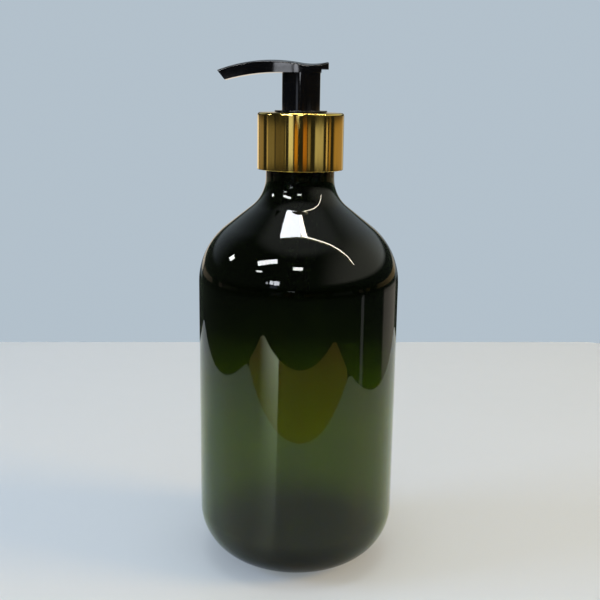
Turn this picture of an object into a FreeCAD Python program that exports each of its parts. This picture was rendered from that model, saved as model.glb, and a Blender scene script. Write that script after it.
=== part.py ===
"""Pump oil bottle: a half-litre bottle with a screwed-on dispensing pump.

Millimetres, +Z up. The origin is the middle of the base on the table, and the spout points along -X.
The pump is drawn at rest, with its head up and its collar screwed tight.
"""

import FreeCAD
import Part
import Sketcher

import math
import os
import re

# Driving dimensions, in millimetres, degrees or counts

SIZES = {
    # bottle
    "body_radius": 37.0,
    "base_round": 20.0,
    "foot_width": 3.5,
    "push_up": 4.0,
    "floor_thickness": 1.6,
    "bottle_wall": 0.9,
    "body_top": 107.5,
    "shoulder_round": 26.0,
    "shoulder_slope": 52.0,
    "neck_round": 13.3,
    "neck_radius": 12.5,
    "neck_wall": 1.7,
    "neck_length": 18.5,
    "neck_lead": 3.0,
    "lip_chamfer": 0.5,
    # screw thread of the neck and of the closure
    "thread_pitch": 4.23,
    "thread_turns": 1.5,
    "thread_depth": 1.15,
    "thread_root": 2.3,
    "thread_crest": 1.1,
    "thread_drop": 1.6,
    "thread_sink": 0.4,
    "thread_gap": 0.3,
    "thread_play": 0.3,
    # gasket, housing flange, closure and collar, stacked on the neck
    "gasket_thickness": 1.2,
    "flange_thickness": 1.5,
    "flange_reach": 0.7,
    "closure_plate": 1.5,
    "closure_wall": 1.2,
    "closure_recess": 0.6,
    "shell_thickness": 0.45,
    "shell_round": 0.9,
    "collar_height": 20.2,
    "turning_gap": 0.1,
    "press_gap": 0.02,
    "sliding_gap": 0.05,
    "sleeve_gap": 0.5,
    "stop_gap": 0.4,
    "gasket_gap": 0.2,
    # lock ring
    "ring_height": 0.65,
    "ring_radius": 9.5,
    "ring_round": 0.35,
    "sleeve_wall": 1.45,
    "web_thickness": 1.5,
    "bead_height": 0.35,
    "bead_length": 1.6,
    "bead_drop": 5.0,
    # pump housing
    "housing_gap": 0.6,
    "pump_bore": 6.0,
    "pump_wall": 1.1,
    "step_thickness": 2.5,
    "barrel_wall": 1.3,
    "vent_radius": 0.5,
    "socket_depth": 10.0,
    "inlet_radius": 1.6,
    "inlet_length": 1.5,
    "cage_gap": 0.35,
    "cage_lip": 0.3,
    "cage_lip_thickness": 1.2,
    "cage_slot": 1.4,
    "cage_slots": 3,
    # inlet ball
    "ball_radius": 2.5,
    "ball_lift": 1.4,
    # dip tube
    "tube_radius": 3.0,
    "tube_bore": 2.0,
    "tube_slant": 4.0,
    "tube_clear": 1.4,
    # plunger: stem, piston rod and piston
    "stroke": 12.75,
    "stem_radius": 3.6,
    "stem_bore": 2.45,
    "stem_seat": 1.2,
    "rod_insert": 7.0,
    "rod_head_radius": 4.9,
    "rod_head_thickness": 1.6,
    "flute_width": 1.2,
    "flute_depth": 0.9,
    "flute_start": 0.5,
    "flutes": 4,
    "piston_slip": 1.2,
    "piston_length": 8.5,
    "piston_lip": 0.6,
    "piston_relief": 0.3,
    "piston_end": 2.2,
    "hub_length": 4.0,
    "hub_wall": 1.6,
    "piston_web": 1.4,
    # return spring
    "spring_length": 24.0,
    "spring_radius": 4.2,
    "spring_wire": 0.8,
    "spring_turns": 7,
    "spring_end_pitch": 1.3,
    "spring_end_gap": 0.05,
    # actuator head
    "skirt_radius": 6.85,
    "skirt_wall": 1.3,
    "skirt_engage": 2.6,
    "skirt_gap": 0.2,
    "socket_wall": 1.05,
    "socket_length": 7.5,
    "head_floor": 0.7,
    "head_rise": 3.18,
    "saddle_middle": 3.8,
    "saddle_round": 24.2,
    "brow_reach": 0.3,
    "back_reach": 9.75,
    "back_foot": 1.2,
    "spout_reach": 29.9,
    "spout_drop": 2.95,
    "spout_slant": 50.0,
    "spout_width": 7.4,
    "tip_length": 4.4,
    "outlet_radius": 1.05,
    "outlet_round": 65.0,
    "outlet_peak_x": 9.5,
    "outlet_peak": 1.35,
    "outlet_turn": 30.0,
    "crown_round": 29.0,
    "crown_cut": 5.0,
    "crown_turn": 40.0,
    "head_round": 0.5,
}

# Places worked out from the driving dimensions

PLACES = {
    # bottle
    "foot_radius": "body_radius - base_round",
    "foot_inner": "foot_radius - foot_width",
    "slope_r": "body_radius - shoulder_round * (1 - cos(shoulder_slope))",
    "slope_z": "body_top + shoulder_round * sin(shoulder_slope)",
    "throat_r": "neck_radius + neck_round * (1 - cos(shoulder_slope))",
    "throat_z": "slope_z + (slope_r - throat_r) / tan(shoulder_slope)",
    "neck_start": "throat_z + neck_round * sin(shoulder_slope)",
    "neck_top": "neck_start + neck_length",
    "neck_bore": "neck_radius - neck_wall",
    "skin_r": "bottle_wall * cos(shoulder_slope)",
    "skin_z": "bottle_wall * sin(shoulder_slope)",
    "dome_rise": "push_up + floor_thickness - bottle_wall",
    # stack on the neck
    "gasket_top": "neck_top + gasket_thickness",
    "flange_top": "gasket_top + flange_thickness",
    "flange_radius": "neck_radius + flange_reach",
    "plate_bottom": "flange_top + turning_gap",
    "plate_top": "plate_bottom + closure_plate",
    "collar_top": "plate_top + shell_thickness",
    "collar_bottom": "collar_top - collar_height",
    "closure_bottom": "collar_bottom + closure_recess",
    "closure_bore": "neck_radius + thread_depth + thread_gap",
    "closure_radius": "closure_bore + closure_wall",
    "shell_bore": "closure_radius + press_gap",
    "collar_radius": "shell_bore + shell_thickness",
    "thread_low": "neck_top - thread_drop - thread_root / 2 - thread_turns * thread_pitch",
    "thread_offset": "(thread_root + thread_crest) / 2 + thread_play",
    "closure_thread_low": "thread_low - thread_offset",
    # lock ring
    "ring_bottom": "collar_top + turning_gap",
    "ring_top": "ring_bottom + ring_height",
    "guide_radius": "skirt_radius + skirt_gap",
    "sleeve_radius": "guide_radius + sleeve_wall",
    "collar_hole": "sleeve_radius + sleeve_gap",
    "skirt_bottom": "ring_top - skirt_engage",
    "web_top": "skirt_bottom - stroke - stop_gap",
    "web_bottom": "web_top - web_thickness",
    "bead_top": "flange_top - bead_drop",
    # plunger at rest
    "piston_top": "web_bottom - piston_slip - stop_gap",
    "piston_bottom": "piston_top - piston_length",
    "seat_z": "piston_bottom + piston_end",
    "hub_top": "seat_z + hub_length",
    "stem_bottom": "hub_top + piston_slip + stop_gap",
    "rod_bottom": "seat_z - rod_head_thickness",
    "rod_radius": "stem_bore - sliding_gap",
    "rod_top": "stem_bottom + rod_insert",
    "hub_radius": "stem_bore + hub_wall",
    "piston_radius": "pump_bore - sliding_gap",
    "piston_middle": "(piston_top + piston_bottom) / 2",
    # housing
    "upper_bore": "sleeve_radius + sliding_gap",
    "upper_radius": "neck_bore - housing_gap",
    "upper_floor": "web_bottom - stop_gap",
    "step_bottom": "upper_floor - step_thickness",
    "pump_radius": "pump_bore + pump_wall",
    "step_end": "step_bottom - (upper_radius - pump_radius)",
    "ledge": "rod_bottom - spring_length",
    "lip_bottom": "ledge - cage_lip_thickness",
    "lip_radius": "ball_radius - cage_lip",
    "cage_radius": "ball_radius + cage_gap",
    "lip_touch": "sqrt(ball_radius ^ 2 - lip_radius ^ 2)",
    "ball_z": "lip_bottom - lip_touch - ball_lift - turning_gap",
    "seat_low": "ball_z - sliding_gap - (sqrt(2) * ball_radius - inlet_radius)",
    "seat_high": "seat_low + cage_radius - inlet_radius",
    "socket_top": "seat_low - inlet_length",
    "socket_bottom": "socket_top - socket_depth",
    "socket_bore": "tube_radius + sliding_gap",
    "barrel_radius": "socket_bore + barrel_wall",
    "cone_top": "lip_bottom - pump_wall",
    "cone_end": "cone_top - (pump_radius - barrel_radius)",
    "tube_bottom": "push_up + floor_thickness + tube_clear",
    # actuator head
    "skirt_top": "ring_top + stroke + stop_gap",
    "skirt_bore": "skirt_radius - skirt_wall",
    "stem_top": "skirt_top - stem_seat",
    "stem_socket": "stem_radius + press_gap",
    "socket_radius": "stem_socket + socket_wall",
    "saddle_low": "skirt_top + head_rise",
    "back_x": "back_reach + head_round",
    "back_z": "saddle_low + saddle_round - sqrt(saddle_round ^ 2 - (back_x - saddle_middle) ^ 2)",
    "back_low_x": "skirt_radius + skirt_gap",
    "back_low_z": "skirt_top + back_foot",
    "back_middle": "back_reach - skirt_radius",
    "brow_x": "0 - brow_reach",
    "brow_sine": "(brow_reach + saddle_middle) / saddle_round",
    "brow_cosine": "sqrt(1 - brow_sine ^ 2)",
    "brow_z": "saddle_low + saddle_round * (1 - brow_cosine)",
    "tip_x": "0 - spout_reach",
    "tip_z": "brow_z - spout_drop",
    "spout_run": "spout_reach - brow_reach",
    "spout_turn": "spout_run * brow_sine + spout_drop * brow_cosine",
    "spout_round": "(spout_run ^ 2 + spout_drop ^ 2) / (2 * spout_turn)",
    "saddle_z": "saddle_low + saddle_round",
    "spout_x": "brow_x - spout_round * brow_sine",
    "spout_z": "brow_z - spout_round * brow_cosine",
    "crown_fall": "crown_round - sqrt(crown_round ^ 2 - back_reach ^ 2)",
    "tip_low_x": "tip_x + tip_length * cos(spout_slant)",
    "tip_low_z": "tip_z - tip_length * sin(spout_slant)",
    "under_x": "0 - skirt_radius",
    "under_fall": "skirt_top - tip_low_z",
    "under_round": "((tip_low_x - under_x) ^ 2 + under_fall ^ 2) / (2 * under_fall)",
    "plan_run": "back_middle - tip_x",
    "plan_taper": "skirt_radius - spout_width / 2",
    "plan_round": "(plan_run ^ 2 + plan_taper ^ 2) / (2 * plan_taper)",
    "chamber_top": "skirt_top + outlet_peak",
    "outlet_z": "skirt_top + outlet_peak - outlet_round",
}

doc = FreeCAD.newDocument("PumpOilBottle")
sheet = doc.addObject("Spreadsheet::Sheet", "Sizes")
for row, (alias, size) in enumerate(SIZES.items(), start=1):
    sheet.set(f"A{row}", alias)
    sheet.set(f"B{row}", str(size))
    sheet.setAlias(f"B{row}", alias)
doc.recompute()


def spelled(text):
    """Write an expression out, with every place replaced and every size read from the sheet."""

    def swap(match):
        word = match.group(0)
        if word in PLACES:
            return f"({spelled(PLACES[word])})"
        return f"Sizes.{word}" if word in SIZES else word

    return re.sub(r"[A-Za-z_]\w*", swap, text)


def measure(text):
    """Return the value that an expression has now."""
    return float(sheet.evalExpression(spelled(text)))


def arc_between(start, end, radius, turn):
    """Make the short arc from start to end that turns left or right on the way."""
    chord = end - start
    side = 1 if turn == "left" else -1
    normal = FreeCAD.Vector(-chord.y, chord.x, 0).normalize() * side
    centre = start + chord * 0.5 + normal * math.sqrt(radius**2 - (chord.Length / 2) ** 2)
    first, last = (start, end) if turn == "left" else (end, start)
    angles = [math.atan2(p.y - centre.y, p.x - centre.x) for p in (first, last)]
    return Part.ArcOfCircle(Part.Circle(centre, FreeCAD.Vector(0, 0, 1), radius), *angles)


def attach(body, sketch, plane, height=None):
    """Put a sketch on one of its body's own planes, or at a height above it."""
    support = next(p for p in body.Origin.OriginFeatures if p.Role == plane)
    sketch.AttachmentSupport = [(support, "")]
    sketch.MapMode = "FlatFace"
    if height is not None:
        sketch.setExpression("AttachmentOffset.Base.z", spelled(height))


def hold_corner(sketch, geometry, end, x, y):
    """Hold one corner of an outline at its two bound distances from the origin."""
    for kind, text, axis in (("DistanceX", x, -2), ("DistanceY", y, -1)):
        if text == "0":
            sketch.addConstraint(Sketcher.Constraint("PointOnObject", geometry, end, axis))
            continue
        bound = sketch.addConstraint(Sketcher.Constraint(kind, -1, 1, geometry, end, measure(text)))
        sketch.setExpression(f"Constraints[{bound}]", spelled(text))


def draw_outline(sketch, steps):
    """Draw one closed outline.

    Each step is a corner. Two more entries make the way to it an arc: a radius, and left or right.
    """
    corners = [FreeCAD.Vector(measure(step[0]), measure(step[1]), 0) for step in steps]
    sides = []
    for number, step in enumerate(steps):
        start, end = corners[number - 1], corners[number]
        if len(step) == 2:
            sides.append((sketch.addGeometry(Part.LineSegment(start, end)), 1, 2))
            continue
        radius, turn = step[2:]
        side = sketch.addGeometry(arc_between(start, end, measure(radius), turn))
        sides.append((side, 1, 2) if turn == "left" else (side, 2, 1))
        bound = sketch.addConstraint(Sketcher.Constraint("Radius", side, measure(radius)))
        sketch.setExpression(f"Constraints[{bound}]", spelled(radius))
    for number, (side, first, last) in enumerate(sides):
        before, _, before_last = sides[number - 1]
        sketch.addConstraint(Sketcher.Constraint("Coincident", before, before_last, side, first))
        hold_corner(sketch, side, last, *steps[number][:2])


def outline(body, name, *loops, plane="XZ_Plane", height=None):
    """Add a sketch of one or more closed outlines to a body."""
    sketch = body.newObject("Sketcher::SketchObject", name)
    attach(body, sketch, plane, height)
    for steps in loops:
        draw_outline(sketch, steps)
    return sketch


def round_sketch(body, name, x, z, radius):
    """Add a sketch of one circle on the body's XZ plane."""
    sketch = body.newObject("Sketcher::SketchObject", name)
    attach(body, sketch, "XZ_Plane")
    centre = FreeCAD.Vector(measure(x), measure(z), 0)
    hole = sketch.addGeometry(Part.Circle(centre, FreeCAD.Vector(0, 0, 1), measure(radius)))
    hold_corner(sketch, hole, 3, x, z)
    bound = sketch.addConstraint(Sketcher.Constraint("Radius", hole, measure(radius)))
    sketch.setExpression(f"Constraints[{bound}]", spelled(radius))
    return sketch


def ring(inner, outer, low, high):
    """Return the outline of a plain ring's section."""
    return [(inner, low), (outer, low), (outer, high), (inner, high)]


def turned(body, name, *loops, cut=False):
    """Add or cut a solid turned about the Z axis."""
    kind = "PartDesign::Groove" if cut else "PartDesign::Revolution"
    sketch = outline(body, f"{name}_section", *loops)
    feature = body.newObject(kind, name)
    feature.Profile = sketch
    feature.ReferenceAxis = (sketch, ["V_Axis"])
    feature.Angle = 360
    doc.recompute()
    return feature


def new_body(name):
    """Start a sub-part."""
    return doc.addObject("PartDesign::Body", name)


def screw_thread(body, section):
    """Add a right-hand screw thread that climbs from a section."""
    sketch = outline(body, "thread_section", section)
    thread = body.newObject("PartDesign::AdditiveHelix", "thread")
    thread.Profile = sketch
    thread.ReferenceAxis = (sketch, ["V_Axis"])
    thread.Mode = "pitch-turns-angle"
    thread.setExpression("Pitch", spelled("thread_pitch"))
    thread.setExpression("Turns", spelled("thread_turns"))
    doc.recompute()


def slots(body, name, steps, height, length, count):
    """Cut equal slots round the Z axis, upward from a height."""
    before = body.Shape.Volume
    pocket = body.newObject("PartDesign::Pocket", name)
    pocket.Profile = outline(body, f"{name}_plan", steps, plane="XY_Plane", height=height)
    pocket.setExpression("Length", spelled(length))
    pocket.Reversed = True
    doc.recompute()
    pattern = body.newObject("PartDesign::PolarPattern", f"{name}_pattern")
    pattern.Originals = [pocket]
    pattern.Axis = (pocket.Profile[0], ["N_Axis"])
    pattern.Angle = 360
    pattern.setExpression("Occurrences", spelled(count))
    body.Tip = pattern
    doc.recompute()
    if body.Shape.Volume >= before:
        raise RuntimeError(f"{name} cut nothing")


# Bottle


def make_bottle():
    """A blown bottle: push-up base, straight body, sloping shoulder and screw neck."""
    body = new_body("bottle")
    outside = [
        ("0", "push_up"),
        ("foot_inner", "0", "(foot_inner ^ 2 + push_up ^ 2) / (2 * push_up)", "right"),
        ("foot_radius", "0"),
        ("body_radius", "base_round", "base_round", "left"),
        ("body_radius", "body_top"),
        ("slope_r", "slope_z", "shoulder_round", "left"),
        ("throat_r", "throat_z"),
        ("neck_radius", "neck_start", "neck_round", "right"),
        ("neck_radius", "neck_top - lip_chamfer"),
        ("neck_radius - lip_chamfer", "neck_top"),
    ]
    inside = [
        ("neck_bore", "neck_top"),
        ("neck_bore", "neck_start + neck_lead"),
        ("neck_radius - bottle_wall", "neck_start"),
        ("throat_r - skin_r", "throat_z - skin_z", "neck_round + bottle_wall", "left"),
        ("slope_r - skin_r", "slope_z - skin_z"),
        ("body_radius - bottle_wall", "body_top", "shoulder_round - bottle_wall", "right"),
        ("body_radius - bottle_wall", "base_round"),
        ("foot_radius", "bottle_wall", "base_round - bottle_wall", "right"),
        ("foot_inner", "bottle_wall"),
        ("0", "push_up + floor_thickness", "(foot_inner ^ 2 + dome_rise ^ 2) / (2 * dome_rise)", "left"),
    ]
    turned(body, "wall", outside + inside)
    root, crest = "neck_radius", "neck_radius + thread_depth"
    screw_thread(
        body,
        [
            (f"{root} - thread_sink", "thread_low - thread_root / 2"),
            (root, "thread_low - thread_root / 2"),
            (crest, "thread_low - thread_crest / 2"),
            (crest, "thread_low + thread_crest / 2"),
            (root, "thread_low + thread_root / 2"),
            (f"{root} - thread_sink", "thread_low + thread_root / 2"),
        ],
    )
    return body


def make_gasket():
    """The flat sealing ring between the neck and the pump's flange."""
    body = new_body("gasket")
    turned(body, "ring", ring("upper_radius + gasket_gap", "flange_radius", "neck_top", "gasket_top"))
    return body


# Collar


def make_closure():
    """The screw cap that pulls the pump down on the neck, hidden by the collar's shell."""
    body = new_body("closure")
    turned(
        body,
        "cap",
        [
            ("closure_bore", "closure_bottom"),
            ("closure_radius", "closure_bottom"),
            ("closure_radius", "plate_top - shell_round"),
            ("closure_radius - shell_round", "plate_top"),
            ("collar_hole", "plate_top"),
            ("collar_hole", "plate_bottom"),
            ("closure_bore", "plate_bottom"),
        ],
    )
    root, crest = "closure_bore", "closure_bore - thread_depth"
    screw_thread(
        body,
        [
            (f"{root} + thread_sink", "closure_thread_low - thread_root / 2"),
            (f"{root} + thread_sink", "closure_thread_low + thread_root / 2"),
            (root, "closure_thread_low + thread_root / 2"),
            (crest, "closure_thread_low + thread_crest / 2"),
            (crest, "closure_thread_low - thread_crest / 2"),
            (root, "closure_thread_low - thread_root / 2"),
        ],
    )
    return body


def make_collar_shell():
    """The thin drawn metal shell pressed over the closure."""
    body = new_body("collar_shell")
    inner_round = "shell_round - shell_thickness"
    turned(
        body,
        "shell",
        [
            ("shell_bore", "collar_bottom"),
            ("collar_radius", "collar_bottom"),
            ("collar_radius", "collar_top - shell_round"),
            ("collar_radius - shell_round", "collar_top", "shell_round", "left"),
            ("collar_hole", "collar_top"),
            ("collar_hole", "plate_top"),
            ("shell_bore - (shell_round - shell_thickness)", "plate_top"),
            ("shell_bore", "plate_top - (shell_round - shell_thickness)", inner_round, "right"),
        ],
    )
    return body


# Pump


def make_lock_ring():
    """The guide of the head's skirt: a flange over the collar and a sleeve snapped into the housing."""
    body = new_body("lock_ring")
    turned(
        body,
        "ring",
        [
            ("sleeve_radius", "ring_bottom"),
            ("ring_radius", "ring_bottom"),
            ("ring_radius", "ring_top - ring_round"),
            ("ring_radius - ring_round", "ring_top", "ring_round", "left"),
            ("guide_radius", "ring_top"),
            ("guide_radius", "web_top"),
            ("stem_radius + sliding_gap", "web_top"),
            ("stem_radius + sliding_gap", "web_bottom"),
            ("sleeve_radius", "web_bottom"),
            ("sleeve_radius", "bead_top - bead_length"),
            ("sleeve_radius + bead_height", "bead_top - bead_length / 2"),
            ("sleeve_radius", "bead_top"),
        ],
    )
    return body


def make_housing():
    """The pump's cylinder, with its flange, ball cage and dip-tube socket."""
    body = new_body("housing")
    outside = [
        ("socket_bore", "socket_bottom"),
        ("barrel_radius", "socket_bottom"),
        ("barrel_radius", "cone_end"),
        ("pump_radius", "cone_top"),
        ("pump_radius", "step_end"),
        ("upper_radius", "step_bottom"),
        ("upper_radius", "gasket_top"),
        ("flange_radius", "gasket_top"),
        ("flange_radius", "flange_top"),
    ]
    inside = [
        ("upper_bore", "flange_top"),
        ("upper_bore", "bead_top"),
        ("upper_bore + bead_height", "bead_top - bead_length / 2"),
        ("upper_bore", "bead_top - bead_length"),
        ("upper_bore", "upper_floor"),
        ("pump_bore", "upper_floor"),
        ("pump_bore", "ledge"),
        ("lip_radius", "ledge"),
        ("lip_radius", "lip_bottom"),
        ("cage_radius", "lip_bottom"),
        ("cage_radius", "seat_high"),
        ("inlet_radius", "seat_low"),
        ("inlet_radius", "socket_top"),
        ("socket_bore", "socket_top"),
    ]
    turned(body, "cylinder", outside + inside)
    half = "cage_slot / 2"
    slot = [
        ("inlet_radius", f"0 - {half}"),
        ("cage_radius", f"0 - {half}"),
        ("cage_radius", half),
        ("inlet_radius", half),
    ]
    slots(body, "cage_slots", slot, "lip_bottom", "cage_lip_thickness", "cage_slots")
    before = body.Shape.Volume
    vent = body.newObject("PartDesign::Pocket", "vent")
    vent.Profile = round_sketch(body, "vent_side", "0", "piston_middle", "vent_radius")
    vent.setExpression("Length", spelled("upper_radius"))
    doc.recompute()
    if body.Shape.Volume >= before:
        raise RuntimeError("the vent cut nothing")
    return body


def make_inlet_ball():
    """The loose ball of the inlet valve, on its seat."""
    ball = doc.addObject("Part::Sphere", "inlet_ball")
    ball.setExpression("Radius", spelled("ball_radius"))
    ball.setExpression("Placement.Base.z", spelled("ball_z"))
    return ball


def make_dip_tube():
    """The suction tube, cut aslant above the bottle's floor."""
    body = new_body("dip_tube")
    turned(body, "tube", ring("tube_bore", "tube_radius", "tube_bottom", "socket_top"))
    pocket = body.newObject("PartDesign::Pocket", "slant")
    pocket.Profile = outline(
        body,
        "slant_side",
        [
            ("0 - tube_radius", "tube_bottom"),
            ("tube_radius", "tube_bottom"),
            ("tube_radius", "tube_bottom + tube_slant"),
        ],
    )
    pocket.Type = "ThroughAll"
    pocket.Midplane = True
    doc.recompute()
    return body


def make_stem():
    """The hollow stem between the head and the piston rod."""
    body = new_body("stem")
    turned(body, "tube", ring("stem_bore", "stem_radius", "stem_bottom", "stem_top"))
    return body


def make_piston_rod():
    """The fluted rod in the stem's end, whose head shuts the piston's passage."""
    body = new_body("piston_rod")
    turned(
        body,
        "rod",
        [
            ("0", "rod_bottom"),
            ("rod_head_radius", "rod_bottom"),
            ("rod_head_radius", "seat_z"),
            ("rod_radius", "seat_z"),
            ("rod_radius", "rod_top"),
            ("0", "rod_top"),
        ],
    )
    half = "flute_width / 2"
    flute = [
        ("rod_radius - flute_depth", f"0 - {half}"),
        ("stem_radius", f"0 - {half}"),
        ("stem_radius", half),
        ("rod_radius - flute_depth", half),
    ]
    slots(body, "flutes", flute, "seat_z + flute_start", "rod_top - seat_z", "flutes")
    return body


def make_piston():
    """The double-lipped piston, which slips on the rod to open its passage."""
    body = new_body("piston")
    lip_bore = "piston_radius - piston_lip"
    waist = "piston_radius - piston_relief"
    turned(
        body,
        "piston",
        [
            ("stem_bore", "seat_z"),
            ("hub_radius", "seat_z"),
            ("hub_radius", "piston_middle - piston_web / 2"),
            (lip_bore, "piston_middle - piston_web / 2"),
            (lip_bore, "piston_bottom"),
            ("piston_radius", "piston_bottom"),
            ("piston_radius", "piston_bottom + piston_end"),
            (waist, "piston_middle - piston_web / 2"),
            (waist, "piston_middle + piston_web / 2"),
            ("piston_radius", "piston_top - piston_end"),
            ("piston_radius", "piston_top"),
            (lip_bore, "piston_top"),
            (lip_bore, "piston_middle + piston_web / 2"),
            ("hub_radius", "piston_middle + piston_web / 2"),
            ("hub_radius", "hub_top"),
            ("stem_bore", "hub_top"),
        ],
    )
    return body


def spring_point(turn):
    """Return the wire's centre and its direction after a number of turns."""
    radius = measure("spring_radius")
    close = measure("spring_end_pitch")
    active = measure("spring_turns")
    low = measure("ledge + spring_wire / 2 + spring_end_gap")
    high = measure("rod_bottom - spring_wire / 2 - spring_end_gap")
    open_pitch = (high - low - 2 * close) / active
    if turn <= 1:
        height, pitch = low + close * turn, close
    elif turn <= 1 + active:
        height, pitch = low + close + open_pitch * (turn - 1), open_pitch
    else:
        height, pitch = high - close * (active + 2 - turn), close
    angle = 2 * math.pi * turn
    place = FreeCAD.Vector(radius * math.cos(angle), radius * math.sin(angle), height)
    way = FreeCAD.Vector(-radius * math.sin(angle), radius * math.cos(angle), pitch / (2 * math.pi))
    return place, way.normalize()


def tangent_arc(start, corner, end):
    """Make the arc from start to end whose end tangents meet at the corner."""
    weight = (end - start).Length / (2 * (corner - start).Length)
    middle = (start + corner * (2 * weight) + end) * (1 / (2 + 2 * weight))
    return Part.Arc(start, middle, end).toShape()


def biarc(first, last):
    """Join two places and directions by two tangent arcs."""
    (start, out), (end, way) = first, last
    span = end - start
    both = out + way
    a = 4 - both.dot(both)
    b = 2 * span.dot(both)
    c = -span.dot(span)
    reach = (-b + math.sqrt(b * b - 4 * a * c)) / (2 * a)
    corner, other = start + out * reach, end - way * reach
    joint = (corner + other) * 0.5
    return [tangent_arc(start, corner, joint), tangent_arc(joint, other, end)]


def least_self_gap(points, wire, skip):
    """Return the least free space between turns of the wire, measured on points along it."""
    pairs = ((p, q) for i, p in enumerate(points) for q in points[i + skip :])
    return min((p - q).Length for p, q in pairs) - wire


def make_return_spring():
    """The compression spring under the piston rod, one unbroken wire with close end turns."""
    steps_per_turn = 4
    wire = measure("spring_wire")
    count = int(round((measure("spring_turns") + 2) * steps_per_turn))
    knots = [spring_point(step / steps_per_turn) for step in range(count + 1)]
    arcs = [arc for first, last in zip(knots, knots[1:]) for arc in biarc(first, last)]
    start, way = knots[0]
    section = Part.Wire(Part.makeCircle(wire / 2, start, way))
    shell = Part.BRepOffsetAPI.MakePipeShell(Part.Wire(arcs))
    shell.add(section)
    shell.build()
    shell.makeSolid()
    fine = 24
    points = [spring_point(step / fine)[0] for step in range(int(count / steps_per_turn * fine) + 1)]
    print(f"return_spring least gap to itself {least_self_gap(points, wire, fine // 2):.2f} mm")
    spring = doc.addObject("Part::Feature", "return_spring")
    spring.Shape = shell.shape()
    return spring


# Actuator head


def head_block(body):
    """Pad the head's side view, trim it to its plan, cut its crowned top and round the top's edge."""
    side = [
        ("back_x", "back_z + crown_cut"),
        ("tip_x - crown_cut * cos(spout_slant)", "tip_z + crown_cut * sin(spout_slant)"),
        ("tip_low_x", "tip_low_z"),
        ("under_x", "skirt_top", "under_round", "right"),
        ("back_low_x", "skirt_top"),
        ("back_low_x", "back_low_z"),
        ("back_x", "back_low_z"),
    ]
    block = body.newObject("PartDesign::Pad", "block")
    block.Profile = outline(body, "side", side)
    block.Midplane = True
    block.setExpression("Length", spelled("2 * back_reach"))
    doc.recompute()
    beyond = "2 * spout_reach"
    around = [
        (f"0 - {beyond}", f"0 - {beyond}"),
        (beyond, f"0 - {beyond}"),
        (beyond, beyond),
        (f"0 - {beyond}", beyond),
    ]
    plan = [
        ("tip_x", "0 - spout_width / 2"),
        ("back_middle", "0 - skirt_radius", "plan_round", "left"),
        ("back_reach", "0", "skirt_radius", "left"),
        ("back_middle", "skirt_radius", "skirt_radius", "left"),
        ("tip_x", "spout_width / 2", "plan_round", "left"),
    ]
    trim = body.newObject("PartDesign::Pocket", "trim")
    trim.Profile = outline(body, "plan", around, plan, plane="XY_Plane")
    trim.Type = "ThroughAll"
    trim.Reversed = True
    doc.recompute()
    if trim.Shape.Volume >= block.Shape.Volume:
        raise RuntimeError("the plan trimmed nothing")
    crown_cut(body, "saddle", "saddle_middle", "saddle_z", "0 - saddle_round", "crown_turn", "crown_turn")
    top = crown_cut(body, "brow", "spout_x", "spout_z", "spout_round", "asin(brow_sine)", "crown_turn")
    rounded = body.newObject("PartDesign::Fillet", "top_round")
    rounded.Base = (top, rim_edges(top.Shape))
    rounded.setExpression("Radius", spelled("head_round"))
    doc.recompute()


def crown_cut(body, name, x, z, middle, ahead, behind):
    """Cut the head's top to a crown that turns about a level line across the head at x and z."""
    sketch = outline(
        body,
        f"{name}_crown",
        [
            ("0 - back_reach", f"{middle} - crown_fall"),
            ("back_reach", f"{middle} - crown_fall", "crown_round", "right"),
            ("back_reach", f"{middle} + 2 * crown_cut"),
            ("0 - back_reach", f"{middle} + 2 * crown_cut"),
        ],
        plane="YZ_Plane",
        height=x,
    )
    sketch.setExpression("AttachmentOffset.Base.y", spelled(z))
    before = body.Shape.Volume
    cut = body.newObject("PartDesign::Groove", name)
    cut.Profile = sketch
    cut.ReferenceAxis = (sketch, ["H_Axis"])
    cut.Type = "TwoAngles"
    cut.setExpression("Angle", spelled(ahead))
    cut.setExpression("Angle2", spelled(behind))
    doc.recompute()
    if body.Shape.Volume >= before:
        raise RuntimeError(f"{name} cut nothing")
    return cut


def top_height(x):
    """Return the height of the middle of the head's top at a place along it."""
    brow = measure("brow_x")
    if x > brow:
        radius = measure("saddle_round")
        return measure("saddle_low") + radius - math.sqrt(radius**2 - (x - measure("saddle_middle")) ** 2)
    radius, sine, cosine = measure("spout_round"), measure("brow_sine"), measure("brow_cosine")
    across, down = brow - radius * sine, measure("brow_z") - radius * cosine
    return down + math.sqrt(radius**2 - (x - across) ** 2)


def rim_edges(shape):
    """Name the edges that bound the head's top along its sides and its back."""
    reach, tip, close = measure("back_reach"), measure("tip_x"), measure("sliding_gap")
    crown, near = measure("crown_round"), measure("head_round")
    names = []
    for number, edge in enumerate(shape.Edges, start=1):
        middle = edge.valueAt((edge.FirstParameter + edge.LastParameter) / 2)
        fall = crown - math.sqrt(crown**2 - min(abs(middle.y), reach) ** 2)
        on_top = abs(middle.z + fall - top_height(min(middle.x, reach))) < near
        across = abs(middle.y) < close
        if on_top and not across and middle.x > tip + close:
            names.append(f"Edge{number}")
    return names


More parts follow.
